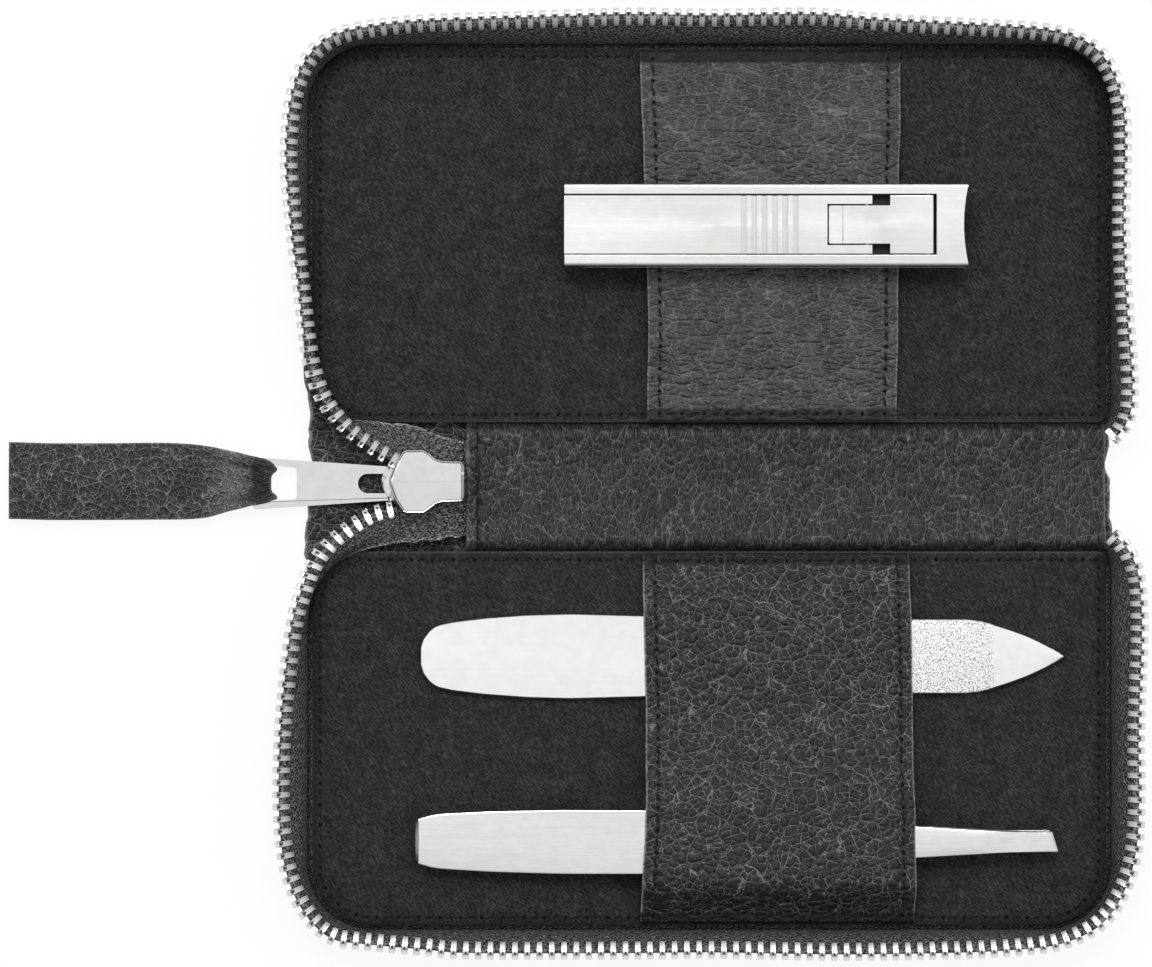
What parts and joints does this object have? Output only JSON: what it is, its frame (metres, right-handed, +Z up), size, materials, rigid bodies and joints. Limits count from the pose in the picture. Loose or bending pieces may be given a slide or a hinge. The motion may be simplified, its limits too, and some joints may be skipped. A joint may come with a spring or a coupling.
{
  "type": "manicure set case",
  "caption": "Zip-around black leather manicure case lying open, with a folding nail clipper, a nail file and tweezers held by leather straps.",
  "frame": {"origin": "middle of the spine's underside, where the open case rests", "axes": "+X along the spine away from the zip pull, +Y towards the half that holds the clipper, +Z up"},
  "size_m": [0.1677, 0.1382, 0.0104],
  "materials": {
    "leather": "black pebbled leather, soft sheen",
    "lining": "black napped suede",
    "stiffener": "grey-brown stiffener board",
    "zip_tape": "black woven zip tape",
    "zip_metal": "bright nickel",
    "polished_metal": "polished nickel",
    "steel": "fine satin brush along the length"
  },
  "bodies": {
    "lower_half": {"outer_cover_lower": "leather", "board_lower": "stiffener", "lining_lower": "lining", "strap_lower": "leather", "zip_tape_lower": "zip_tape", "zip_teeth_lower": "zip_metal", "zip_strand_lower": "zip_metal", "zip_stop_lower": "zip_metal"},
    "spine": {"outer_cover_spine": "leather", "spine_backing": "stiffener", "spine_lining": "leather", "zip_tape_end": "zip_tape"},
    "upper_half": {"outer_cover_upper": "leather", "board_upper": "stiffener", "lining_upper": "lining", "strap_upper": "leather", "zip_tape_upper": "zip_tape", "zip_teeth_upper": "zip_metal", "zip_strand_upper": "zip_metal", "zip_stop_upper": "zip_metal"},
    "zip_slider": {"slider_body": "polished_metal"},
    "zip_pull": {"pull_tab": "polished_metal"},
    "pull_strap": {"pull_strap": "leather"},
    "clipper": {"clipper_lower_leaf": "steel"},
    "clipper_upper": {"clipper_upper_leaf": "steel", "clipper_link_pin": "steel"},
    "clipper_link": {"clipper_link": "steel", "clipper_lever_pin": "steel"},
    "clipper_lever": {"clipper_lever": "steel"},
    "nail_file": {"nail_file": "steel"},
    "tweezers": {"tweezer_leg_lower": "steel"},
    "tweezer_upper": {"tweezer_leg_upper": "steel"}
  },
  "joints": [
    {"name": "base_fold", "type": "hinge", "parent": "lower_half", "child": "spine", "pos_m": [0, -0.00975, 0.0005], "axis": [-1, 0, 0], "range_deg": [-90, 0], "deforming": ["zip_strand_lower"]},
    {"name": "lid_fold", "type": "hinge", "parent": "spine", "child": "upper_half", "pos_m": [0, 0.00975, 0.0005], "axis": [-1, 0, 0], "range_deg": [-90, 0], "deforming": ["zip_strand_upper"]},
    {"name": "slider_run", "type": "slide", "parent": "spine", "child": "zip_slider", "axis": [-1, 0, 0], "range_m": [0, 0.006], "deforming": ["zip_strand_lower", "zip_strand_upper"]},
    {"name": "pull_swing", "type": "hinge", "parent": "zip_slider", "child": "zip_pull", "pos_m": [-0.0446, 0.0005, 0.0027], "axis": [0, 1, 0], "range_deg": [0, 8]},
    {"name": "strap_swing", "type": "hinge", "parent": "zip_pull", "child": "pull_strap", "pos_m": [-0.06764, 0.0005, 0.00206], "axis": [0, 1, 0], "range_deg": [0, 80]},
    {"name": "clipper_lift", "type": "slide", "parent": "upper_half", "child": "clipper", "axis": [0, 0, 1], "range_m": [0, 0.05]},
    {"name": "clipper_jaw", "type": "hinge", "parent": "clipper", "child": "clipper_upper", "pos_m": [-0.02038, 0.03837, 0.0077], "axis": [0, 1, 0], "range_deg": [0, 0.85], "stiffness_Nm_per_rad": 0.3},
    {"name": "clipper_link_swing", "type": "hinge", "parent": "clipper_upper", "child": "clipper_link", "pos_m": [0.03142, 0.03837, 0.00955], "axis": [0, 1, 0], "range_deg": [0, 75]},
    {"name": "clipper_lever_swing", "type": "hinge", "parent": "clipper_link", "child": "clipper_lever", "pos_m": [0.02248, 0.03837, 0.00955], "axis": [0, 1, 0], "range_deg": [0, 100]},
    {"name": "file_slide", "type": "slide", "parent": "lower_half", "child": "nail_file", "axis": [-1, 0, 0], "range_m": [0, 0.014]},
    {"name": "tweezers_slide", "type": "slide", "parent": "lower_half", "child": "tweezers", "axis": [-1, 0, 0], "range_m": [0, 0.014]},
    {"name": "tweezer_squeeze", "type": "hinge", "parent": "tweezers", "child": "tweezer_upper", "pos_m": [-0.0408, -0.05222, 0.0057], "axis": [0, 1, 0], "range_deg": [0, 1.4], "stiffness_Nm_per_rad": 0.3}
  ],
  "couplings": [
    {"joint": "lid_fold", "follows": "base_fold", "ratio": 1}
  ]
}
